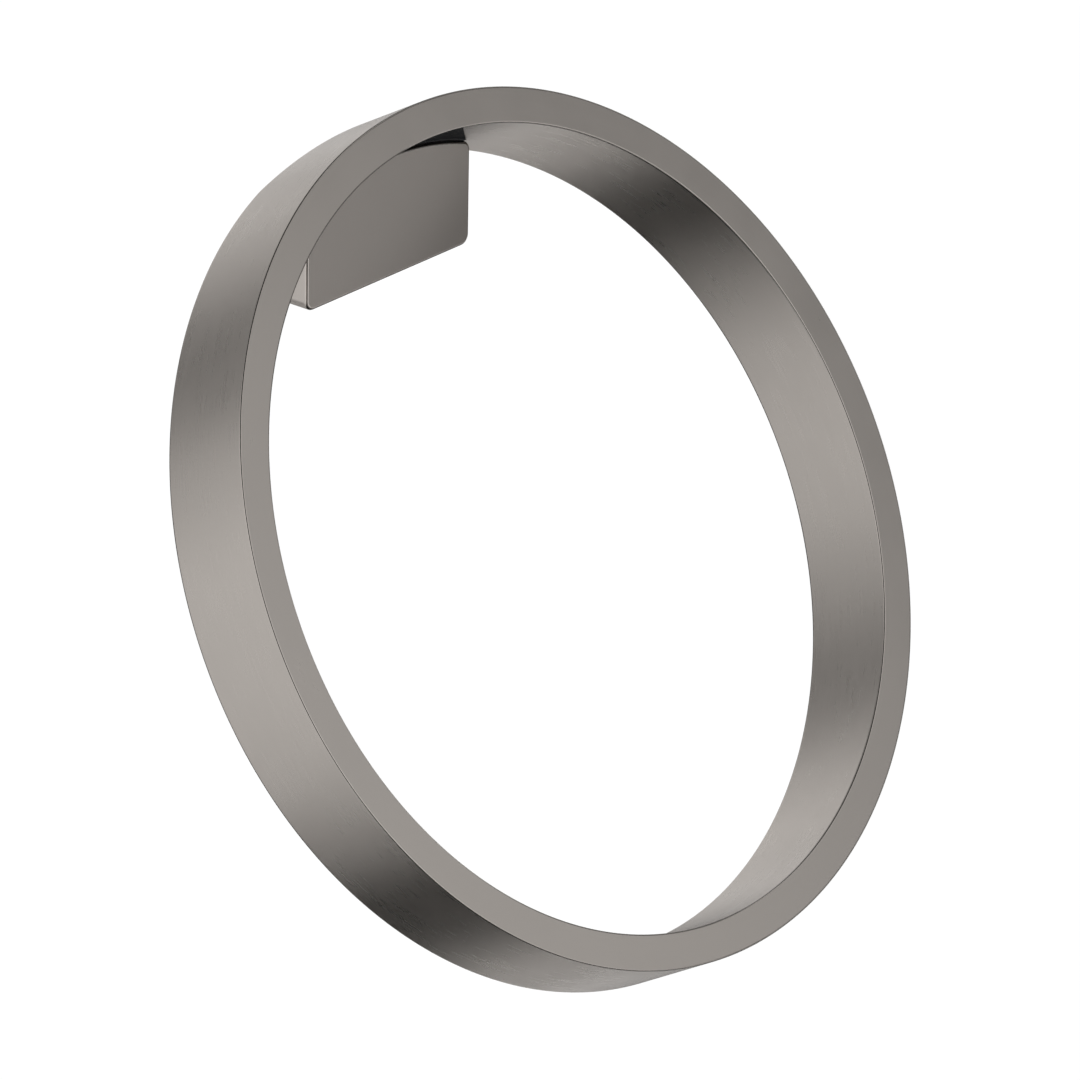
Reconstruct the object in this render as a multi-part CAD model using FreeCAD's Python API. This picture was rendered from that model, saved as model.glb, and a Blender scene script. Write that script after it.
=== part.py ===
import FreeCAD, Part
import math
import os

# Towel ring, in millimetres.
#
# Frame: the origin is on the wall, midway between the two wall-screw holes. +X runs to the
# right along the wall, +Y into the wall and +Z up, so the whole object lies at y <= 0.
#
# A flat band bent into a circle leans out of the wall at its bottom. Inside its top sits a
# shallow block whose curved upper face is the ring's seat. The block hides a bracket that is
# screwed to the wall, hooks over its upper edge and is pulled tight by a grub screw below.

V = FreeCAD.Vector

# Ring
ring_outer_diameter = 170.0
ring_wall = 7.0
ring_band_width = 20.0
ring_tilt = 30.0
ring_flat_depth = 2.3
ring_edge_chamfer = 0.3

# Mounting block: the height is that of its front face, at the middle, up to the ring
block_width = 47.0
block_depth = 9.0
block_height = 25.2
block_corner_radius = 2.0
block_edge_radius = 0.65

# Wall bracket: a plate that is taller in front than at the wall
bracket_width = 30.0
bracket_height = 10.0
bracket_thickness = 4.0
bracket_edge_slope = 20.0
bracket_corner_radius = 1.0

# Holes for the wall screws
wall_screw_spacing = 20.0
wall_screw_hole_diameter = 4.5
wall_screw_head_diameter = 8.2
wall_screw_head_angle = 90.0

# Pocket in the back of the block, as the play it leaves round the bracket
pocket_side_play = 0.2
pocket_hook_play = 0.15
pocket_front_play = 1.0
pocket_drop_room = 1.9
pocket_floor_thickness = 4.5
pocket_corner_radius = 0.8

# Grub screw, upwards through the floor of the pocket
grub_diameter = 4.0
grub_length = 5.0
grub_from_wall = 3.2
grub_point_angle = 90.0
grub_point_flat = 0.6
grub_socket_across_flats = 2.0
grub_socket_depth = 2.0
grub_thread_play = 0.05
grub_contact_play = 0.03

# Ring screws, upwards through the block into blind holes in the ring
ring_screw_diameter = 3.0
ring_screw_length = 16.0
ring_screw_engagement = 6.0
ring_screw_head_diameter = 5.5
ring_screw_head_height = 3.0
ring_screw_socket_across_flats = 2.5
ring_screw_socket_depth = 1.4
ring_screw_from_wall = 4.5
ring_screw_head_edge = 0.3
ring_screw_thread_play = 0.05
ring_screw_clearance = 0.2
ring_screw_head_play = 0.25
ring_screw_end_room = 0.8

# A cutting tool runs this far past the face that it opens
overrun = 5.0

# The ring's radii, and the direction of its axis, from its front edge to its back edge
ring_outer_radius = ring_outer_diameter / 2
ring_inner_radius = ring_outer_radius - ring_wall
tilt = math.radians(ring_tilt)
ring_axis = V(0, math.cos(tilt), -math.sin(tilt))

# Heights, from the bottom of the block upwards, and the bracket's reach into the block
bracket_slope = math.tan(math.radians(bracket_edge_slope))
bracket_edge_rise = bracket_thickness * bracket_slope
bracket_bottom = -bracket_height / 2
bracket_top = bracket_height / 2
pocket_floor = bracket_bottom - pocket_drop_room
block_bottom = pocket_floor - pocket_floor_thickness
block_front_top = block_bottom + block_height
pocket_depth = bracket_thickness + pocket_front_play
pocket_half_width = bracket_width / 2 + pocket_side_play

# Centre of the ring's front edge. Its distance from the wall leaves the flat at the top, and
# its height brings the inside of the band to the top of the block's front face.
ring_reach = ring_outer_radius * math.sin(tilt) + ring_band_width * math.cos(tilt)
ring_centre_y = ring_flat_depth - ring_reach
seat_along_axis = (-block_depth - ring_centre_y - ring_inner_radius * math.sin(tilt)) / math.cos(tilt)
ring_centre_z = block_front_top - ring_inner_radius * math.cos(tilt) + seat_along_axis * math.sin(tilt)
ring_centre = V(0, ring_centre_y, ring_centre_z)

# Each ring screw stands in the middle of the metal between the pocket and the block's side
ring_screw_x = (pocket_half_width + block_width / 2) / 2


def seat_height(x, y):
    """Height of the inside of the ring above the point x, y."""
    along_up = math.sqrt(ring_inner_radius ** 2 - x ** 2)
    return ring_centre_z + (along_up - (y - ring_centre_y) * math.sin(tilt)) / math.cos(tilt)


def cylinder_up(radius, height, x, y, z):
    """Upright cylinder that starts at height z."""
    return Part.makeCylinder(radius, height, V(x, y, z), V(0, 0, 1))


def hexagon_up(across_flats, height, x, y, z):
    """Upright hexagonal prism that starts at height z."""
    corner = across_flats / math.sqrt(3)
    points = []
    for side in range(7):
        angle = math.radians(60 * side)
        points.append(V(x + corner * math.cos(angle), y + corner * math.sin(angle), z))
    return Part.Face(Part.makePolygon(points)).extrude(V(0, 0, height))


def prism_along_x(points, half_width):
    """Prism with the closed outline of (y, z) points, centred on x = 0."""
    corners = [V(-half_width, y, z) for y, z in points]
    corners.append(corners[0])
    return Part.Face(Part.makePolygon(corners)).extrude(V(2 * half_width, 0, 0))


def pick_edges(shape, wanted):
    """Edges whose midpoint and direction the test accepts."""
    chosen = []
    for edge in shape.Edges:
        halfway = (edge.FirstParameter + edge.LastParameter) / 2
        if wanted(edge.valueAt(halfway), edge.tangentAt(halfway)):
            chosen.append(edge)
    return chosen


def band_cylinder(radius, length, start):
    """Cylinder on the ring's axis, from a distance behind the ring's front edge."""
    return Part.makeCylinder(radius, length, ring_centre + ring_axis * start, ring_axis)


def wall_side(depth):
    """Large block of the space behind the wall's surface."""
    reach = 2 * ring_outer_diameter
    return Part.makeBox(reach, depth, reach, V(-reach / 2, 0, -reach / 2))


def ring_screw_bearing():
    """Height at which the head of a ring screw bears on the block."""
    thread_start = seat_height(ring_screw_x, -ring_screw_from_wall)
    return thread_start + ring_screw_engagement - ring_screw_length


def make_ring():
    band = band_cylinder(ring_outer_radius, ring_band_width, 0)
    band = band.cut(band_cylinder(ring_inner_radius, ring_band_width, 0))
    rims = [edge for edge in band.Edges if isinstance(edge.Curve, Part.Circle)]
    band = band.makeChamfer(ring_edge_chamfer, rims)
    band = band.cut(wall_side(ring_outer_diameter))
    radius = ring_screw_diameter / 2 + ring_screw_thread_play
    height = ring_screw_length + ring_screw_end_room
    for side in (-1, 1):
        x = side * ring_screw_x
        band = band.cut(cylinder_up(radius, height, x, -ring_screw_from_wall, ring_screw_bearing()))
    return band


def make_block_body():
    """Solid block: flat front, sides and bottom, and the ring's seat on top."""
    height = block_height + ring_outer_radius
    corner = V(-block_width / 2, -block_depth, block_bottom)
    body = Part.makeBox(block_width, block_depth, height, corner)
    length = 4 * ring_band_width
    body = body.common(band_cylinder(ring_inner_radius, length, -length / 2))

    def side_corner(middle, along):
        return abs(along.x) < 0.01 and abs(abs(middle.x) - block_width / 2) < 0.01 and abs(along.y) > 0.5

    def front_edge(middle, along):
        return abs(middle.y + block_depth) < 0.01

    body = body.makeFillet(block_corner_radius, pick_edges(body, side_corner))
    return body.makeFillet(block_edge_radius, pick_edges(body, front_edge))


def make_pocket():
    """Space for the bracket, with a sloping roof that hooks over its upper edge."""
    mouth_top = bracket_top - bracket_edge_rise + pocket_hook_play
    roof_rise = pocket_depth * bracket_slope
    outline = [
        (0, pocket_floor),
        (-pocket_depth, pocket_floor),
        (-pocket_depth, mouth_top + roof_rise),
        (0, mouth_top),
    ]
    pocket = prism_along_x(outline, pocket_half_width)

    def upright_inner_corner(middle, along):
        return abs(along.z) > 0.99 and middle.y < -pocket_depth / 2

    return pocket.makeFillet(pocket_corner_radius, pick_edges(pocket, upright_inner_corner))


def make_mounting_block():
    below = block_bottom - overrun
    grub_hole_top = pocket_floor + pocket_drop_room / 2
    grub_hole_radius = grub_diameter / 2 + grub_thread_play
    grub_hole = cylinder_up(grub_hole_radius, grub_hole_top - below, 0, -grub_from_wall, below)
    block = make_block_body().cut(make_pocket()).cut(grub_hole)
    shank_radius = ring_screw_diameter / 2 + ring_screw_clearance
    head_radius = ring_screw_head_diameter / 2 + ring_screw_head_play
    bearing = ring_screw_bearing()
    for side in (-1, 1):
        x = side * ring_screw_x
        y = -ring_screw_from_wall
        shank_hole = cylinder_up(shank_radius, block_height, x, y, bearing)
        counterbore = cylinder_up(head_radius, bearing - below, x, y, below)
        block = block.cut(shank_hole).cut(counterbore)
    return block


def make_wall_bracket():
    outline = [
        (0, bracket_bottom + bracket_edge_rise),
        (-bracket_thickness, bracket_bottom),
        (-bracket_thickness, bracket_top),
        (0, bracket_top - bracket_edge_rise),
    ]
    plate = prism_along_x(outline, bracket_width / 2)

    def end_corner(middle, along):
        at_end = abs(abs(middle.x) - bracket_width / 2) < 0.01
        return at_end and abs(along.y) > 0.5

    plate = plate.makeFillet(bracket_corner_radius, pick_edges(plate, end_corner))
    hole_radius = wall_screw_hole_diameter / 2
    head_radius = wall_screw_head_diameter / 2
    sink_depth = (head_radius - hole_radius) / math.tan(math.radians(wall_screw_head_angle / 2))
    for side in (-1, 1):
        front = V(side * wall_screw_spacing / 2, -bracket_thickness, 0)
        hole = Part.makeCylinder(hole_radius, bracket_thickness, front, V(0, 1, 0))
        sink = Part.makeCone(head_radius, hole_radius, sink_depth, front, V(0, 1, 0))
        plate = plate.cut(hole).cut(sink)
    return plate


def make_clamp_grub_screw():
    """Grub screw: a cone point that reaches the bracket's lower edge, a hexagon socket below."""
    edge_height = bracket_bottom + bracket_edge_rise * (1 - grub_from_wall / bracket_thickness)
    radius = grub_diameter / 2
    flat_radius = grub_point_flat / 2
    point_height = (radius - flat_radius) / math.tan(math.radians(grub_point_angle / 2))
    tip = edge_height - flat_radius * bracket_slope - grub_contact_play
    bottom = tip - grub_length
    body = cylinder_up(radius, grub_length - point_height, 0, -grub_from_wall, bottom)
    point = Part.makeCone(
        radius,
        flat_radius,
        point_height,
        V(0, -grub_from_wall, tip - point_height),
        V(0, 0, 1),
    )
    socket = hexagon_up(grub_socket_across_flats, grub_socket_depth, 0, -grub_from_wall, bottom)
    return body.fuse(point).removeSplitter().cut(socket)


def make_ring_screw(side):
    """Socket head screw, its head in the block and its end in the ring."""
    x = side * ring_screw_x
    y = -ring_screw_from_wall
    bearing = ring_screw_bearing()
    head_bottom = bearing - ring_screw_head_height
    shank = cylinder_up(ring_screw_diameter / 2, ring_screw_length, x, y, bearing)
    shank = shank.makeChamfer(ring_screw_head_edge, [shank.Edges[0]])
    head = cylinder_up(ring_screw_head_diameter / 2, ring_screw_head_height, x, y, head_bottom)
    head = head.makeChamfer(ring_screw_head_edge, [head.Edges[2]])
    socket = hexagon_up(ring_screw_socket_across_flats, ring_screw_socket_depth, x, y, head_bottom)
    return head.fuse(shank).removeSplitter().cut(socket)


pieces = {
    "ring": make_ring(),
    "mounting_block": make_mounting_block(),
    "wall_bracket": make_wall_bracket(),
    "clamp_grub_screw": make_clamp_grub_screw(),
    "ring_screw_left": make_ring_screw(-1),
    "ring_screw_right": make_ring_screw(1),
}

os.makedirs("parts", exist_ok=True)
for name, shape in pieces.items():
    if len(shape.Solids) != 1 or not shape.isValid():
        raise ValueError("not one sound solid: " + name)
    solid = shape.Solids[0]
    solid.exportStep("parts/" + name + ".step")
    box = solid.BoundBox
    corners = [box.XMin, box.XMax, box.YMin, box.YMax, box.ZMin, box.ZMax]
    print(name, [round(value, 2) for value in corners], "volume", round(solid.Volume, 1))
print("ring centre", round(ring_centre_y, 3), round(ring_centre_z, 3))
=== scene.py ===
# %% [markdown]
# # A towel ring that leans out of the wall
# A flat metal band is bent into a circle and held by a small block on a wall. This lesson
# takes the exact parts from the drawing office, gives them a brushed metal finish, builds a
# studio round them, and places the camera.

# %% Load the parts
import math
from collections import namedtuple

import bmesh
import bpy
from mathutils import Euler, Matrix, Vector


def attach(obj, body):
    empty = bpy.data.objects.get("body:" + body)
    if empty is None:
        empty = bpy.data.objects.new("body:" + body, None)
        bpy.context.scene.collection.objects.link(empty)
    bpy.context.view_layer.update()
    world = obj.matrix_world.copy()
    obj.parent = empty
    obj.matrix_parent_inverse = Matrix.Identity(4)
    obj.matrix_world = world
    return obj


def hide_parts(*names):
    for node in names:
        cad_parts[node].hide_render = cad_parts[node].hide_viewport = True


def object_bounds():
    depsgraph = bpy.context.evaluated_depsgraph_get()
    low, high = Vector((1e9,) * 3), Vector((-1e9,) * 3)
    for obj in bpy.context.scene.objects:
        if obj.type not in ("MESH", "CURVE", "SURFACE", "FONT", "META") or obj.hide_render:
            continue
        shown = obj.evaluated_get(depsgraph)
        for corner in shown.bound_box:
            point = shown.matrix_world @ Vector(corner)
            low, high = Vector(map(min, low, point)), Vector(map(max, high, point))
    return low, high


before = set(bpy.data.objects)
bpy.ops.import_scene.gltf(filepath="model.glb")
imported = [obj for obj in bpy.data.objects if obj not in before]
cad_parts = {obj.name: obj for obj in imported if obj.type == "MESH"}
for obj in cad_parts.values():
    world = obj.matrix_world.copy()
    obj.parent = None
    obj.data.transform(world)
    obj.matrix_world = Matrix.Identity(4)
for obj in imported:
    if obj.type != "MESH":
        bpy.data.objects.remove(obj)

cad_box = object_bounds()
scene = bpy.context.scene
MM = 0.001


def in_mm(box):
    """The corners of a box in millimetres, rounded to be printed."""
    return [[round(c / MM, 1) for c in corner] for corner in box]


print("parts:", sorted(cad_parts))
print("box in mm:", in_mm(cad_box))

# %% [markdown]
# ## The sizes that everything follows
# The scene is in metres, so a millimetre is a thousandth. The ring is a flat band: 20 mm wide,
# 7 mm thick, 170 mm across. Its axis tips 30 degrees, so that the top touches the wall and
# the bottom stands out into the room. The centre is that of the ring's front edge.

# %% Sizes of the ring
RING_OUTER = 85.0 * MM
RING_INNER = 78.0 * MM
BAND_WIDTH = 20.0 * MM
EDGE = 0.36 * MM
RING_CENTRE = Vector((0.0, -57.5211, -48.2528)) * MM
RING_TURN = Euler((math.radians(-120.0), 0.0, 0.0))
ring_axis = RING_TURN.to_matrix() @ Vector((0.0, 0.0, 1.0))
print("ring axis, front to back:", [round(c, 3) for c in ring_axis])

# %% [markdown]
# ## The ring
# A maker rolls a flat bar, welds it into a hoop and trims the back of its top flat, so that it
# lies on the wall. In Blender a hoop is a section that is spun once round an axis. The section
# is a rectangle whose corners are bevelled first, because a real edge is never perfectly
# sharp, and that thin round edge is what catches the light. The spun band is smoother than the
# part's own facets, so it takes their place. Its rounded edge is up to a tenth of a
# millimetre fuller than the drawn one, and what would pass the drawing's box is pressed back.

# %% Draw the section of the band
EDGE_SEGMENTS = 4
EDGE_PROFILE = 0.8


def band_section(bm):
    """A rectangle beside the Z axis, with small round corners, as a ring of edges."""
    corners = [
        (RING_INNER, 0.0),
        (RING_OUTER, 0.0),
        (RING_OUTER, BAND_WIDTH),
        (RING_INNER, BAND_WIDTH),
    ]
    bm.faces.new([bm.verts.new((x, 0.0, z)) for x, z in corners])
    bmesh.ops.bevel(
        bm, geom=list(bm.verts), offset=EDGE, offset_type="OFFSET", affect="VERTICES",
        segments=EDGE_SEGMENTS, profile=EDGE_PROFILE, material=-1, clamp_overlap=True,
    )
    bmesh.ops.delete(bm, geom=list(bm.faces), context="FACES_ONLY")
    print("section:", len(bm.verts), "corners")


# %% Spin it, tip it and trim it at the wall
RING_STEPS = 360
WELD_DISTANCE = 1e-6
CUT_TOLERANCE = 1e-7


def everything(bm):
    """All vertices, edges and faces of a mesh."""
    return bm.verts[:] + bm.edges[:] + bm.faces[:]


def spin_and_place(bm):
    """Turn the section into a hoop, and put the hoop in its place."""
    bmesh.ops.spin(
        bm, geom=everything(bm), cent=(0, 0, 0), axis=(0, 0, 1), dvec=(0, 0, 0),
        angle=math.tau, steps=RING_STEPS,
        use_merge=True, use_normal_flip=False, use_duplicate=False,
    )
    bmesh.ops.remove_doubles(bm, verts=bm.verts, dist=WELD_DISTANCE)
    in_place = Matrix.Translation(RING_CENTRE) @ RING_TURN.to_matrix().to_4x4()
    bmesh.ops.transform(bm, matrix=in_place, verts=bm.verts)


def trim_at_the_wall(bm):
    """Cut off what lies behind the wall's surface, close it, and return the cut's edges."""
    cut = bmesh.ops.bisect_plane(
        bm, geom=everything(bm), dist=CUT_TOLERANCE,
        plane_co=(0, 0, 0), plane_no=(0, 1, 0), clear_outer=True,
    )
    rim = [piece for piece in cut["geom_cut"] if isinstance(piece, bmesh.types.BMEdge)]
    bmesh.ops.contextual_create(bm, geom=rim)
    return rim


# %% Make the band
def mesh_from(bm, name):
    """A mesh that keeps what bm holds; bm itself is freed."""
    mesh = bpy.data.meshes.new(name)
    bm.to_mesh(mesh)
    bm.free()
    return mesh


def make_ring_band():
    """The hoop in its place, closed, with smooth faces and a sharp line round the flat cut."""
    bm = bmesh.new()
    band_section(bm)
    spin_and_place(bm)
    rim = trim_at_the_wall(bm)
    low, high = cad_box
    for vert in bm.verts:
        vert.co = [min(max(c, least), most) for c, least, most in zip(vert.co, low, high)]
    bmesh.ops.recalc_face_normals(bm, faces=bm.faces)
    for edge in rim:
        edge.smooth = False
    open_edges = sum(not edge.is_manifold for edge in bm.edges)
    mesh = mesh_from(bm, "ring_band")
    mesh.polygons.foreach_set("use_smooth", [True] * len(mesh.polygons))
    print("ring band:", len(mesh.polygons), "faces,", open_edges, "open edges")
    return mesh


def add_object(name, data):
    """An object in the scene that shows the given mesh, lamp or camera."""
    thing = bpy.data.objects.new(name, data)
    scene.collection.objects.link(thing)
    return thing


ring_band = add_object("ring_band", make_ring_band())
even = ring_band.modifiers.new("even_shading", "WEIGHTED_NORMAL")
even.keep_sharp = True
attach(ring_band, "root")
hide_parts("ring")

# %% [markdown]
# ## A short way to wire nodes
# A finish is a net of small nodes. Each is made, filled in and linked, which is the same few
# lines every time. So a helper does it: it takes sockets or plain numbers alike, and lays the
# nodes out in columns, so that the net can be read in Blender's editor from left to right.

# %% Helper for wiring nodes
class Wiring:
    """Adds nodes to one node tree and links them."""

    LEFT, TOP = -2200, 600
    COLUMN, ROW = 200, 200
    NODES_IN_A_COLUMN = 6

    def __init__(self, tree):
        self.tree = tree
        self.count = 0

    def add(self, kind, **settings):
        """A node of the given kind, in the next place of the layout, with its settings."""
        node = self.tree.nodes.new(kind)
        column, row = divmod(self.count, self.NODES_IN_A_COLUMN)
        node.location = (self.LEFT + column * self.COLUMN, self.TOP - row * self.ROW)
        self.count += 1
        for name, value in settings.items():
            setattr(node, name, value)
        return node

    def feed(self, socket, value):
        """Link a socket to the input, or write a plain number, vector or colour into it."""
        if isinstance(value, bpy.types.NodeSocket):
            self.tree.links.new(value, socket)
        else:
            socket.default_value = value

    def fill(self, node, inputs):
        """Feed a node's inputs, which are given by name, and return its outputs."""
        for name, value in inputs.items():
            self.feed(node.inputs[name], value)
        return node.outputs

    def math(self, operation, *values):
        """The result of one calculation with sockets or numbers."""
        node = self.add("ShaderNodeMath", operation=operation)
        for socket, value in zip(node.inputs, values):
            self.feed(socket, value)
        return node.outputs["Value"]

    def fit(self, value, low, high, to_low=0.0, to_high=1.0, smooth=False):
        """From to_low to to_high, and no further, as the value runs from low to high."""
        kind = "SMOOTHSTEP" if smooth else "LINEAR"
        node = self.add("ShaderNodeMapRange", interpolation_type=kind, clamp=True)
        ends = {"From Min": low, "From Max": high, "To Min": to_low, "To Max": to_high}
        return self.fill(node, {"Value": value, **ends})["Result"]

    def mix(self, factor, first, second):
        """The first colour at factor 0, the second at factor 1."""
        node = self.add("ShaderNodeMix", data_type="RGBA")
        return self.fill(node, {"Factor": factor, "A": first, "B": second})["Result"]

    def split(self, vector):
        """The X, Y and Z of a vector."""
        return self.fill(self.add("ShaderNodeSeparateXYZ"), {"Vector": vector})

    def length(self, x, y):
        """The distance of a place at x, y from the axis."""
        squares = self.math("MULTIPLY", x, x), self.math("MULTIPLY", y, y)
        return self.math("SQRT", self.math("ADD", *squares))

    def use(self, group, inputs):
        """The outputs of a node group that is used with these inputs."""
        return self.fill(self.add("ShaderNodeGroup", node_tree=group.tree), inputs)


print("the layout has", Wiring.NODES_IN_A_COLUMN, "nodes in a column")

# %% Helper for node groups
OUTPUT_PLACE = (400, 0)


def new_group(name, inputs, outputs):
    """A node group's wiring, its inputs to read from and its outputs to feed.

    Each input has a start value, or None for a vector. All outputs are numbers.
    """
    tree = bpy.data.node_groups.new(name, "ShaderNodeTree")
    for title, value in inputs.items():
        kind = "NodeSocketVector" if value is None else "NodeSocketFloat"
        socket = tree.interface.new_socket(title, in_out="INPUT", socket_type=kind)
        if value is not None:
            socket.default_value = value
    for title in outputs:
        tree.interface.new_socket(title, in_out="OUTPUT", socket_type="NodeSocketFloat")
    wiring = Wiring(tree)
    given = wiring.add("NodeGroupInput")
    made = wiring.add("NodeGroupOutput")
    made.location = OUTPUT_PLACE
    print("new node group:", name)
    return wiring, given.outputs, made.inputs


# %% [markdown]
# ## The grain of brushed metal
# An abrasive belt leaves thousands of fine scratches that all run the same way. Seen from a
# metre off they are not separate lines, but they make the shine a little rougher in one place
# than in the next. A noise pattern gives this when it is stretched: long along the stroke, and
# a third of a millimetre across it. More than one finish needs it, so it is a node group. Its
# first input is a position that is already counted in strokes, and each finish prepares that.

# %% Build the grain group
PATCHES_IN_A_METRE = 90.0

grain, given, made = new_group(
    "brush_strokes", {"Strokes": None, "Place": None}, ["Fine", "Patches"]
)
stroke_noise = grain.fill(
    grain.add("ShaderNodeTexNoise"),
    {"Vector": given["Strokes"], "Scale": 1.0, "Detail": 3.0, "Roughness": 0.6},
)
patch_noise = grain.fill(
    grain.add("ShaderNodeTexNoise"),
    {"Vector": given["Place"], "Scale": PATCHES_IN_A_METRE, "Detail": 2.0},
)
grain.feed(made["Fine"], stroke_noise["Fac"])
grain.feed(made["Patches"], patch_noise["Fac"])
print("grain group:", len(grain.tree.nodes), "nodes")

# %% [markdown]
# ## Which way the strokes run
# On the band the belt went round the hoop, so a position has to be read in the ring's own
# axes. A Mapping node of the Texture type does that: it is given the ring's centre and its tip,
# and gives back a position with Z along the ring's axis. Distance from the axis and distance
# along it both cross the strokes, so their sum is the fine coordinate on the band and on its
# flat edge alike. On the block the belt went from side to side, along X.

# %% Coordinates for each piece
STROKE_LENGTH = 9.0 * MM
STROKE_WIDTH = 0.3 * MM


def in_ring_axes(wiring, place):
    """Position in the ring's own axes: Z along its axis, from the front edge to the back."""
    turned = wiring.add("ShaderNodeMapping", vector_type="TEXTURE")
    inputs = {"Vector": place, "Location": RING_CENTRE, "Rotation": RING_TURN}
    return wiring.fill(turned, inputs)["Vector"]


def strokes_round_the_ring(wiring, place):
    """Position in strokes round the ring's axis."""
    x, y, z = wiring.split(in_ring_axes(wiring, place))
    across = wiring.math("ADD", wiring.length(x, y), z)
    joined = wiring.add("ShaderNodeCombineXYZ")
    inputs = {
        "X": wiring.math("MULTIPLY", x, 1 / STROKE_LENGTH),
        "Y": wiring.math("MULTIPLY", y, 1 / STROKE_LENGTH),
        "Z": wiring.math("MULTIPLY", across, 1 / STROKE_WIDTH),
    }
    return wiring.fill(joined, inputs)["Vector"]


def strokes_along_x(wiring, place):
    """Position in strokes that run from side to side."""
    stretched = wiring.add("ShaderNodeMapping", vector_type="POINT")
    scale = (1 / STROKE_LENGTH, 1 / STROKE_WIDTH, 1 / STROKE_WIDTH)
    return wiring.fill(stretched, {"Vector": place, "Scale": scale})["Vector"]


print("a stroke is", round(STROKE_LENGTH / STROKE_WIDTH), "times as long as it is wide")

# %% [markdown]
# ## Edges that differ from faces
# A belt doesn't reach round an edge, and hands polish it. So an edge is less rough than the
# faces. Its thin dark and bright lines are painted light: the finishes use these masks to paint
# a dark reflection, shade and a highlight into the edge's colour. The group finds edges from
# the
# direction of the surface: every flat face looks either along the piece's main axis or square
# to it, and only a rounded edge looks somewhere in between. It also tells three places apart:
# the shoulder, where an edge begins to turn away from the front and the ring gets a painted
# highlight, the edges that look up, down or to the right, which are dim on the block with
# painted shade, and the underside.

# %% Find the edges
SHOULDER = (0.8, 0.94)

edge_finder, given, made = new_group(
    "edge_finder",
    {"Axis": None, "Flat": 0.992, "Round": 0.95},
    ["Edge", "Dim Edge", "Shoulder", "Underside"],
)
normal = edge_finder.add("ShaderNodeNewGeometry").outputs["Normal"]
dot = edge_finder.add("ShaderNodeVectorMath", operation="DOT_PRODUCT")
edge_finder.feed(dot.inputs[0], normal)
edge_finder.feed(dot.inputs[1], given["Axis"])
along = dot.outputs["Value"]
along_axis = edge_finder.math("ABSOLUTE", along)
along_squared = edge_finder.math("MULTIPLY", along, along)
square_to_axis = edge_finder.math("SQRT", edge_finder.math("SUBTRACT", 1.0, along_squared))
best = edge_finder.math("MAXIMUM", along_axis, square_to_axis)
found = edge_finder.fit(best, given["Flat"], given["Round"], smooth=True)
edge_finder.feed(made["Edge"], found)
# Shoulder marks where the ring's finish paints a highlight into the edge colour.
edge_finder.feed(made["Shoulder"], edge_finder.fit(along_axis, *SHOULDER))
print("edges are found with", len(edge_finder.tree.nodes), "nodes")

# %% Tell the dim edges and the underside apart
TILTED = (0.1, 0.4)
FACING_DOWN = (-0.05, -0.4)

x, y, z = edge_finder.split(normal)
up_down_or_right = edge_finder.math("MAXIMUM", edge_finder.math("ABSOLUTE", z), x)
tilted = edge_finder.fit(up_down_or_right, *TILTED)
# Dim Edge marks the block's edges that get painted shade.
edge_finder.feed(made["Dim Edge"], edge_finder.math("MULTIPLY", found, tilted))
facing_down = edge_finder.fit(z, *FACING_DOWN)
no_edge = edge_finder.math("SUBTRACT", 1.0, found)
edge_finder.feed(made["Underside"], edge_finder.math("MULTIPLY", facing_down, no_edge))
print("edge group:", len(edge_finder.tree.nodes), "nodes")

# %% [markdown]
# ## The shaded corner in front of the block
# Just in front of the block the inside of the band looks straight at the block's dark face,
# and the two shut each other in. On the real piece a wedge there is nearly black from that
# shade and that dark reflection, and here both are painted: Shade is the mask for a near-black
# painted into the band's colour. Its sides run from the block's upper corners towards the
# front edge of the band, where it is narrower.
# The group draws that wedge in the ring's own axes, the same on the left and on the right.

# %% Draw the wedge
INNER_FACE_ENDS = (RING_INNER + 0.1 * EDGE, RING_INNER + 0.4 * EDGE)

corner, given, made = new_group(
    "shaded_corner",
    {
        "Place": None,
        "Front Half Width": 9.5 * MM,
        "Widening": 0.975,
        "Half Width": 22.4 * MM,
        "Softness": 0.3 * MM,
    },
    ["Shade", "Rim"],
)
x, y, z = corner.split(given["Place"])
sideways = corner.math("ABSOLUTE", x)
from_axis = corner.length(x, y)
widened = corner.math("MULTIPLY", z, given["Widening"])
reach = corner.math("ADD", widened, given["Front Half Width"])
reach = corner.math("MINIMUM", reach, given["Half Width"])
beyond = corner.math("SUBTRACT", sideways, reach)
in_wedge = corner.fit(beyond, 0.0, given["Softness"], 1.0, 0.0, smooth=True)
on_inside = corner.fit(from_axis, *INNER_FACE_ENDS, 1.0, 0.0)
at_top = corner.math("LESS_THAN", y, 0.0)
inside_at_top = corner.math("MULTIPLY", on_inside, at_top)
# Shade: the mask of the painted shade and painted reflection in the wedge.
corner.feed(made["Shade"], corner.math("MULTIPLY", in_wedge, inside_at_top))
print("the wedge takes", len(corner.tree.nodes), "nodes")

# %% [markdown]
# ## Dark lines on the front edges
# The front of the band has two rims, and each reflects something dark on part of its way
# round. That dark reflection is painted into the colour as a dark line. The inner rim is dark
# beside the block, less and less down to the middle, and again at the bottom, and the line is
# broader on the left. The outer rim is dark on the right half, most of all at the top. In the
# ring's own axes X runs to the right and Y down, so the group fades these lines in and out
# along X and Y.

# %% Draw the dark line on the inner rim
LEFT_TO_RIGHT = (-8.0 * MM, 8.0 * MM)
INNER_RIM_STARTS = (RING_INNER + 0.6 * EDGE, RING_INNER + 0.05 * EDGE)
INNER_RIM_FADE = 0.35 * EDGE
BESIDE_THE_BLOCK = (5.0 * MM, 8.0 * MM)
DOWN_TO_THE_MIDDLE = (-45.0 * MM, -5.0 * MM)
AT_THE_BOTTOM = (45.0 * MM, 65.0 * MM)

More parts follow.
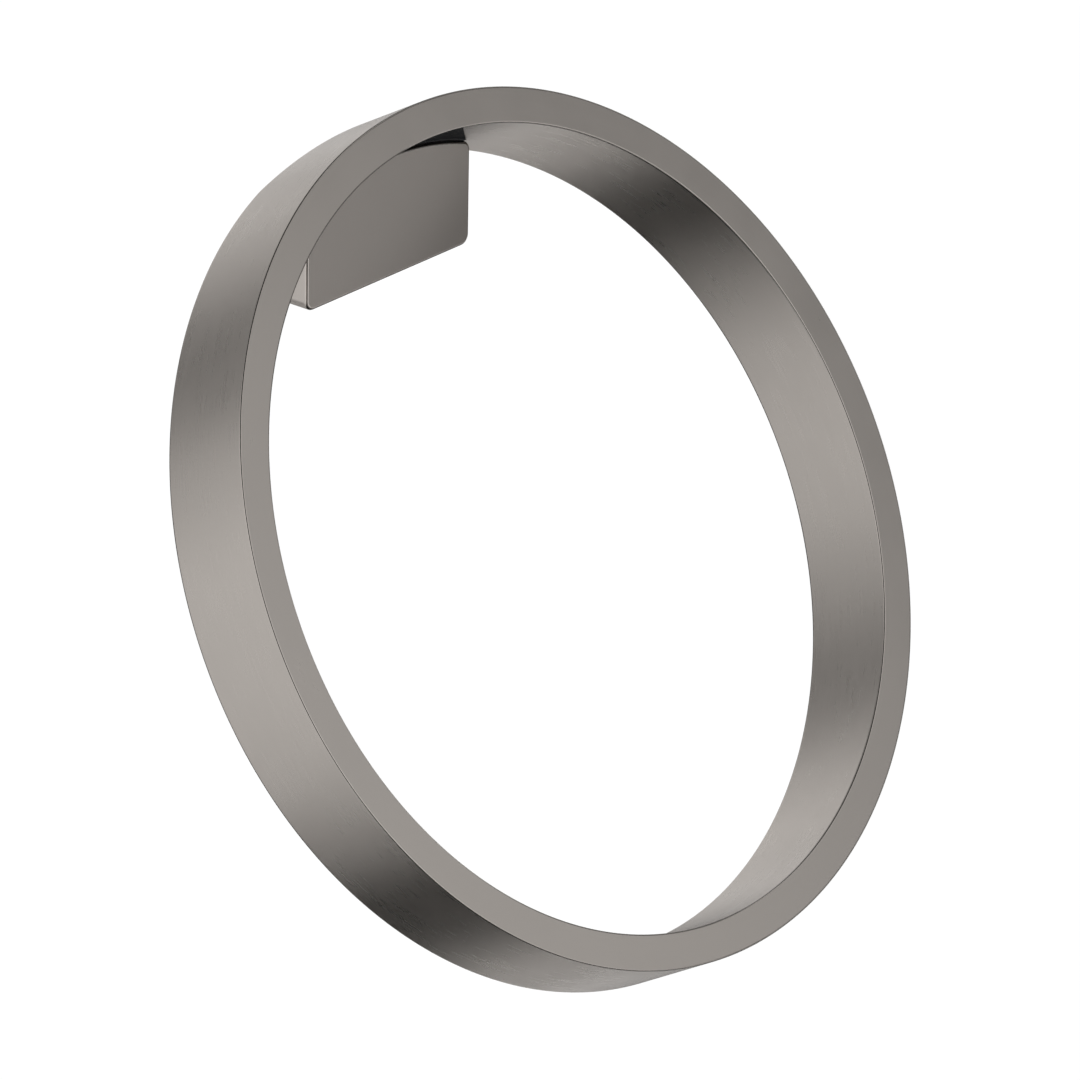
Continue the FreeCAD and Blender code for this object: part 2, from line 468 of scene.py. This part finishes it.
rim_start = corner.fit(x, *LEFT_TO_RIGHT, *INNER_RIM_STARTS)
rim_end = corner.math("ADD", rim_start, INNER_RIM_FADE)
inner_rim = corner.fit(from_axis, rim_start, rim_end, 1.0, 0.0)
beside = corner.fit(sideways, *BESIDE_THE_BLOCK)
upper = corner.fit(y, *DOWN_TO_THE_MIDDLE, 1.0, 0.0)
lower = corner.fit(y, *AT_THE_BOTTOM)
stretch = corner.math("MAXIMUM", corner.math("MULTIPLY", beside, upper), lower)
inner_line = corner.math("MULTIPLY", inner_rim, stretch)
print("with the inner rim:", len(corner.tree.nodes), "nodes")

# %% Draw the dark line on the outer rim
FROM_THE_TOP = (-82.0 * MM, -60.0 * MM)
OUTER_RIM_STRENGTHS = (0.9, 0.6)
OUTER_RIM_STARTS = (RING_OUTER - 1.1 * EDGE, RING_OUTER - 0.8 * EDGE)
RIGHT_HALF = (-25.0 * MM, -5.0 * MM)
FRONT_ENDS = (EDGE, 1.5 * EDGE)

strength = corner.fit(y, *FROM_THE_TOP, *OUTER_RIM_STRENGTHS)
outer_rim = corner.fit(from_axis, *OUTER_RIM_STARTS, 0.0, strength)
right_half = corner.fit(x, *RIGHT_HALF)
outer_line = corner.math("MULTIPLY", outer_rim, right_half)
both_lines = corner.math("MAXIMUM", inner_line, outer_line)
in_front = corner.fit(z, *FRONT_ENDS, 1.0, 0.0)
# Rim: the mask of the painted dark reflection on both rims.
corner.feed(made["Rim"], corner.math("MULTIPLY", both_lines, in_front))
print("corner group:", len(corner.tree.nodes), "nodes")

# %% [markdown]
# ## The brushed finish
# The ring and the block are the same dark, warm grey metal. A metal takes its colour from its
# Base Color, which here varies by a few parts in a hundred with the strokes. Roughness near
# 0.3 gives the soft, satin reflections of the real finish, and a bump of one or two
# thousandths of a millimetre breaks them into streaks. The edges are smoother, and light is
# painted into their colour: the ring's have a painted highlight on the shoulder and a painted
# dark reflection where they have turned away from the front, and of the block's only the dim
# ones are dark, with painted shade.

# %% Helper for the colour
METAL = (0.464, 0.431, 0.401)
BLOCK_METAL = (0.510, 0.473, 0.442)
BRACKET_METAL = (0.56, 0.56, 0.55)
SCREW_METAL = (0.5, 0.5, 0.51)
GRAIN_RANGE = (0.3, 0.7)


def tinted(colour, factor):
    """A colour made darker or lighter."""
    return tuple(min(c * factor, 1.0) for c in colour) + (1.0,)


def grain_and_painted_edge_colour(wiring, colour, pattern, contrast, edges, tinted_edge, tints):
    """A colour from the pattern, with painted shade and highlight on the chosen edges."""
    light = wiring.fit(pattern, *GRAIN_RANGE)
    darkest, lightest = tinted(colour, 1.0 - contrast), tinted(colour, 1.0 + contrast)
    turned_tint, shoulder_tint = tints
    turned, shoulder = tinted(colour, turned_tint), tinted(colour, shoulder_tint)
    on_faces = wiring.mix(light, darkest, lightest)
    # On the edges the colour is painted light: shade and dark reflection, and a highlight.
    on_edges = wiring.mix(edges["Shoulder"], turned, shoulder)
    return wiring.mix(edges[tinted_edge], on_faces, on_edges)


# %% Helper for a whole finish
GLANCING_TINT = (0.985, 0.97, 0.96, 1.0)
EDGE_ROUGHNESS = 0.18
FINE_SHARE, PATCHY_SHARE = 0.7, 0.3
MIDDLE = 0.5
SHOULDER_GRAIN = 0.3

Finish = namedtuple("Finish", "material wiring shader place edges colour")


def metal_finish(
    name, colour, strokes, axis, rough, spread, bump, contrast, tints, tinted_edge="Edge"
):
    """A metal whose colour, roughness and bump follow its brush strokes and its edges.

    The roughness varies by spread, the colour by contrast, and bump is a height in metres.
    The tints paint light into an edge's colour, one on its turned part and one on its shoulder:
    below 1 they paint shade and dark reflection, above 1 a highlight.
    """
    material = bpy.data.materials.new(name)
    material.use_nodes = True
    wiring = Wiring(material.node_tree)
    shader = material.node_tree.nodes["Principled BSDF"]
    place = wiring.add("ShaderNodeTexCoord").outputs["Object"]
    edges = wiring.use(edge_finder, {"Axis": axis})
    fine, patchy = wiring.use(grain, {"Strokes": strokes(wiring, place), "Place": place})

    grain_left = wiring.fit(edges["Shoulder"], 0.0, 1.0, 1.0, SHOULDER_GRAIN)
    swing = wiring.math("SUBTRACT", fine, MIDDLE)
    fine = wiring.math("MULTIPLY_ADD", swing, grain_left, MIDDLE)
    fine_part = wiring.math("MULTIPLY", fine, FINE_SHARE)
    patchy_part = wiring.math("MULTIPLY", patchy, PATCHY_SHARE)
    pattern = wiring.math("ADD", fine_part, patchy_part)

    base = grain_and_painted_edge_colour(wiring, colour, pattern, contrast, edges, tinted_edge, tints)
    on_faces = wiring.fit(pattern, *GRAIN_RANGE, rough - spread, rough + spread)
    roughness = wiring.fit(edges["Edge"], 0.0, 1.0, on_faces, EDGE_ROUGHNESS)
    bumpy = wiring.fill(wiring.add("ShaderNodeBump"), {"Distance": bump, "Height": fine})
    wiring.fill(shader, {
        "Base Color": base,
        "Metallic": 1.0,
        "Roughness": roughness,
        "Specular Tint": GLANCING_TINT,
        "Normal": bumpy["Normal"],
    })
    print("finish", name, "has", len(material.node_tree.nodes), "nodes")
    return Finish(material, wiring, shader, place, edges, base)


# %% Make the four metals
INTO_THE_WALL = (0, 1, 0)
UPWARDS = (0, 0, 1)

# The ring's edge tints paint a dark reflection where an edge turns away and a highlight on its
# shoulder.
ring_finish = metal_finish(
    "brushed_ring", METAL, strokes_round_the_ring, ring_axis,
    rough=0.3, spread=0.05, bump=0.002 * MM, contrast=0.02, tints=(0.15, 1.6),
)
# The block's edge tint paints shade on its dim edges.
block_finish = metal_finish(
    "brushed_block", BLOCK_METAL, strokes_along_x, INTO_THE_WALL, tinted_edge="Dim Edge",
    rough=0.3, spread=0.02, bump=0.001 * MM, contrast=0.015, tints=(0.3, 0.3),
)
# The bracket and the screws get faint painted shade on every edge.
bracket_finish = metal_finish(
    "pressed_bracket", BRACKET_METAL, strokes_along_x, INTO_THE_WALL,
    rough=0.36, spread=0.06, bump=0.006 * MM, contrast=0.04, tints=(0.85, 0.85),
)
screw_finish = metal_finish(
    "plain_screw", SCREW_METAL, strokes_along_x, UPWARDS,
    rough=0.33, spread=0.05, bump=0.003 * MM, contrast=0.04, tints=(0.85, 0.85),
)

# %% [markdown]
# ## A matt underside for the block
# Nobody brushes the side that looks at the floor. It is left as it was cut and is duller than
# the rest, so there the finish is only part metal. The whole block shines less than the ring
# at a glancing angle, which its Specular Tint says.

# %% Make the underside matt
UNDERSIDE_METALLIC = 0.4
DULL_TINT = (0.3, 0.3, 0.3, 1.0)

wiring, underside = block_finish.wiring, block_finish.edges["Underside"]
wiring.fill(block_finish.shader, {
    "Metallic": wiring.fit(underside, 0.0, 1.0, 1.0, UNDERSIDE_METALLIC),
    "Specular Tint": DULL_TINT,
})
print("share of metal on the underside:", UNDERSIDE_METALLIC)

# %% [markdown]
# ## Darken the corner and the rims
# The corner group's two masks, painted shade and painted reflection, are laid over the ring's
# colour. The wedge is a painted near-black that hardly mirrors, or it would only show the
# bright room. In the narrow groove where the block meets the band almost no light arrives, so
# there the painted wedge is a little lighter, and it looks equally dark all over.

# %% Lay the masks over the ring's colour
# The rim tint paints a dark reflection; the wedge and groove colours are painted shade, lighter
# in the groove where real shade adds to it.
RIM_TINT = 0.42
WEDGE = (0.0145, 0.015, 0.016, 1.0)
GROOVE = (0.05, 0.05, 0.051, 1.0)
GROOVE_STARTS = (-9.45 * MM, -8.5 * MM)
WEDGE_METALLIC = 0.1

wiring, place = ring_finish.wiring, ring_finish.place
masks = wiring.use(corner, {"Place": in_ring_axes(wiring, place)})
with_painted_rim_reflection = wiring.mix(masks["Rim"], ring_finish.colour, tinted(METAL, RIM_TINT))
in_groove = wiring.fit(wiring.split(place)["Y"], *GROOVE_STARTS)
dark = wiring.mix(in_groove, WEDGE, GROOVE)
wiring.fill(ring_finish.shader, {
    "Base Color": wiring.mix(masks["Shade"], with_painted_rim_reflection, dark),
    "Metallic": wiring.fit(masks["Shade"], 0.0, 1.0, 1.0, WEDGE_METALLIC),
    "Specular IOR Level": 0.0,
})
print("the ring's finish now has", len(wiring.tree.nodes), "nodes")

# %% Dress the pieces
ring_band.data.materials.append(ring_finish.material)
finishes = {
    "mounting_block": block_finish,
    "wall_bracket": bracket_finish,
    "clamp_grub_screw": screw_finish,
    "ring_screw_left": screw_finish,
    "ring_screw_right": screw_finish,
}
for name, finish in finishes.items():
    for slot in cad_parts[name].material_slots:
        slot.material = finish.material
    print(name, "wears", finish.material.name)

# %% [markdown]
# ## The studio
# Metal has hardly any look of its own: what is seen is the room. A photographer puts such a
# ring in a white room, and hangs black cloths and a few round lamps out of view, so that each
# curve runs from light to dark. The world is white here, at strength 1. The floor is white
# too, and seen from below it is clear, so that it never hides the ring.

# %% White room
WHITE = (1.0, 1.0, 1.0, 1.0)

world = bpy.data.worlds.new("white_room")
scene.world = world
world.use_nodes = True
background = world.node_tree.nodes["Background"]
background.inputs["Color"].default_value = WHITE
background.inputs["Strength"].default_value = 1.0
world.cycles.sampling_method = "NONE"
print("world strength:", background.inputs["Strength"].default_value)

# %% White floor
FLOOR_HEIGHT = -1.75
FLOOR_RADIUS = 30.0
FLOOR_SIDES = 96

bm = bmesh.new()
bmesh.ops.create_circle(
    bm, cap_ends=True, segments=FLOOR_SIDES, radius=FLOOR_RADIUS,
    matrix=Matrix.Translation((0, 0, FLOOR_HEIGHT)),
)
floor = add_object("floor", mesh_from(bm, "floor"))
print("floor", -FLOOR_HEIGHT, "m below the wall screws")

# %% Paint the floor
floor_paint = bpy.data.materials.new("floor_paint")
floor_paint.use_nodes = True
wiring = Wiring(floor_paint.node_tree)
paint = wiring.fill(floor_paint.node_tree.nodes["Principled BSDF"], {
    "Base Color": (0.97, 0.97, 0.97, 1.0),
    "Emission Color": WHITE,
    "Emission Strength": 0.05,
    "Roughness": 0.9,
    "Specular IOR Level": 0.0,
})
from_below = wiring.add("ShaderNodeNewGeometry").outputs["Backfacing"]
clear = wiring.add("ShaderNodeBsdfTransparent").outputs["BSDF"]
choose = wiring.add("ShaderNodeMixShader")
for socket, value in zip(choose.inputs, (from_below, paint["BSDF"], clear)):
    wiring.feed(socket, value)
output = floor_paint.node_tree.nodes["Material Output"]
wiring.feed(output.inputs["Surface"], choose.outputs["Shader"])
floor.data.materials.append(floor_paint)
print("the floor's paint has", len(floor_paint.node_tree.nodes), "nodes")

# %% [markdown]
# ## Black cloths
# Each cloth hangs a metre from the ring and faces it. Its edges fade out, as a cloth does
# that hangs a little out of focus in a satin reflection. The camera doesn't see the cloths and
# they throw no shadow: only the shine of the metal shows them.

# %% The soft edge of a cloth
soft_edge, given, made = new_group(
    "soft_edge",
    {"Place": None, "Half Width": 0.1, "Half Height": 0.1, "Fade": 0.1, "Darkness": 1.0},
    ["Cover"],
)
x, y, z = soft_edge.split(given["Place"])
covers = []
for offset, half in ((x, given["Half Width"]), (y, given["Half Height"])):
    distance = soft_edge.math("ABSOLUTE", offset)
    outer = soft_edge.math("ADD", half, given["Fade"])
    covers.append(soft_edge.fit(distance, half, outer, 1.0, 0.0, smooth=True))
cover = soft_edge.math("MULTIPLY", *covers)
soft_edge.feed(made["Cover"], soft_edge.math("MULTIPLY", cover, given["Darkness"]))
print("soft edge group:", len(soft_edge.tree.nodes), "nodes")

# %% Places round the ring
STUDIO_CENTRE = RING_CENTRE + ring_axis * BAND_WIDTH / 2


def towards(azimuth, elevation):
    """A direction: azimuth from straight into the wall round to the right, elevation up."""
    a, e = math.radians(azimuth), math.radians(elevation)
    return Vector((math.sin(a) * math.cos(e), math.cos(a) * math.cos(e), math.sin(e)))


def facing_the_ring(azimuth, elevation, distance):
    """A place round the ring, turned so that local Z points back at it and local Y is up."""
    out = towards(azimuth, elevation)
    side = towards(azimuth + 90.0, 0.0)
    upward = side.cross(out)
    turn = Matrix((side, -upward, -out)).transposed()
    return Matrix.Translation(STUDIO_CENTRE + out * distance) @ turn.to_4x4()


print("the studio's centre in mm:", [round(c / MM, 1) for c in STUDIO_CENTRE])

# %% Helper that hangs a cloth
CLOTH_DISTANCE = 1.0
BLACK = (0.0, 0.0, 0.0, 1.0)


def cloth_material(name, half_width, half_height, fade, darkness):
    """Black within the half sizes, fading out to clear beyond them."""
    material = bpy.data.materials.new(name)
    material.use_nodes = True
    wiring = Wiring(material.node_tree)
    cover = wiring.use(soft_edge, {
        "Place": wiring.add("ShaderNodeTexCoord").outputs["Object"],
        "Half Width": half_width,
        "Half Height": half_height,
        "Fade": fade,
        "Darkness": darkness,
    })["Cover"]
    wiring.fill(material.node_tree.nodes["Principled BSDF"], {
        "Base Color": BLACK,
        "Roughness": 1.0,
        "Specular IOR Level": 0.0,
        "Alpha": cover,
    })
    return material


def hang_cloth(name, azimuth, elevation, half_width, half_height, fade, darkness):
    """A cloth that faces the ring and shows in nothing but the shine of the metal."""
    bm = bmesh.new()
    bmesh.ops.create_grid(bm, x_segments=1, y_segments=1, size=1.0)
    size = (half_width + fade, half_height + fade, 1.0)
    bmesh.ops.scale(bm, vec=size, verts=bm.verts)
    cloth = add_object(name, mesh_from(bm, name))
    cloth.matrix_world = facing_the_ring(azimuth, elevation, CLOTH_DISTANCE)
    cloth.visible_camera = False
    cloth.visible_diffuse = False
    cloth.visible_shadow = False
    cloth.data.materials.append(cloth_material(name, half_width, half_height, fade, darkness))


# %% Hang the cloths
# Azimuth and elevation in degrees; half width, half height and fade in metres; darkness
cloths = {
    "cloth_below": (0.9, -71.5, 0.20, 0.38, 0.27, 0.42),
    "cloth_behind": (-13.2, 9.1, 0.07, 0.33, 0.34, 0.72),
    "cloth_right_low": (95.2, -41.4, 0.35, 0.48, 0.14, 0.76),
    "cloth_front_right": (144.5, 7.6, 0.47, 0.59, 0.22, 0.77),
    "cloth_behind_high": (23.3, 27.6, 0.31, 0.23, 0.40, 0.42),
    "cloth_behind_low": (-5.7, -32.5, 0.44, 0.56, 0.37, 0.99),
    "cloth_front_low": (-131.8, -57.8, 0.44, 0.95, 0.25, 0.92),
    "cloth_right": (61.2, -12.4, 0.06, 0.36, 0.43, 0.82),
    "cloth_at_camera": (-107.4, 24.6, 0.49, 0.48, 0.27, 0.67),
    "cloth_overhead": (1.2, 90.7, 0.58, 0.64, 0.33, 0.88),
    "cloth_right_high": (61.1, 28.6, 0.26, 0.26, 0.27, 0.66),
    "cloth_straight_behind": (55.2, -26.6, 0.08, 0.07, 0.12, 0.59),
}
for name, values in cloths.items():
    hang_cloth(name, *values)
print(len(cloths), "cloths hang round the ring")

# %% [markdown]
# ## Round lamps
# Four big soft lamps add a little light where the metal is brightest. A disc lamp's strength in
# watts is spread over its face and over all directions in front of it. So the helper works
# from the brightness that is wanted, where 1 is as bright as the white room, and gets the
# watts from it: brightness times pi times the lamp's area.

# %% Place the lamps
LAMP_DISTANCE = 0.8


def place_lamp(name, azimuth, elevation, spread, brightness):
    """A disc lamp that faces the ring; its spread is its radius for each metre of distance."""
    radius = spread * LAMP_DISTANCE
    light = bpy.data.lights.new(name, "AREA")
    light.shape = "DISK"
    light.size = 2 * radius
    light.energy = brightness * math.pi * math.pi * radius**2
    lamp = add_object(name, light)
    about_face = Matrix.Rotation(math.pi, 4, "X")
    lamp.matrix_world = facing_the_ring(azimuth, elevation, LAMP_DISTANCE) @ about_face
    lamp.visible_camera = False


# Azimuth and elevation in degrees; spread; brightness
lamps = {
    "lamp_right": (108.0, -30.5, 0.30, 0.73),
    "lamp_behind": (13.5, -3.2, 0.32, 0.36),
    "lamp_left": (-57.6, 14.2, 0.40, 0.28),
    "lamp_front": (156.8, 14.4, 0.49, 0.55),
}
for name, values in lamps.items():
    place_lamp(name, *values)
print(len(lamps), "lamps")

# %% [markdown]
# ## The camera
# The picture was taken from far off with a long lens, which keeps the circle's sides nearly
# parallel. The camera stands to the left and above. Its place is given by the way from it to
# the centre of the ring's front edge, in units of the ring's radius: to the right, up and
# forwards, as the camera sees them.

# %% Which way the camera looks
SHOT_AZIMUTH = math.radians(50.5703)
SHOT_ELEVATION = math.radians(23.5946)
SHOT_ROLL = math.radians(0.9248)

straight_up = Vector((0, 0, 1))
level_forward = Vector((math.sin(SHOT_AZIMUTH), math.cos(SHOT_AZIMUTH), 0.0))
level_right = Vector((math.cos(SHOT_AZIMUTH), -math.sin(SHOT_AZIMUTH), 0.0))
forward = math.cos(SHOT_ELEVATION) * level_forward - math.sin(SHOT_ELEVATION) * straight_up
upward = math.sin(SHOT_ELEVATION) * level_forward + math.cos(SHOT_ELEVATION) * straight_up
right = math.cos(SHOT_ROLL) * level_right + math.sin(SHOT_ROLL) * upward
up = -math.sin(SHOT_ROLL) * level_right + math.cos(SHOT_ROLL) * upward
print("the camera looks along", [round(c, 3) for c in forward])

# %% Place the camera
TO_THE_RIGHT, UP, FORWARDS = 0.097179, 0.031136, 25.35684
SENSOR_WIDTH = 36.0
LENS = 384.042
CLIP_END = 60.0

camera_data = bpy.data.cameras.new("camera")
camera_data.sensor_width = SENSOR_WIDTH
camera_data.lens = LENS
camera_data.clip_end = CLIP_END
camera = add_object("camera", camera_data)
scene.camera = camera
way_to_ring = TO_THE_RIGHT * right + UP * up + FORWARDS * forward
stand = RING_CENTRE - way_to_ring * RING_OUTER
turn = Matrix((right, up, -forward)).transposed()
camera.matrix_world = Matrix.Translation(stand) @ turn.to_4x4()
print("camera at", [round(c, 3) for c in stand], "m")

# %% [markdown]
# ## Colours as they are
# The Standard view shows a colour as it was written, with no film look. The finish may not
# make it bigger.

# %% Finish
scene.view_settings.view_transform = "Standard"
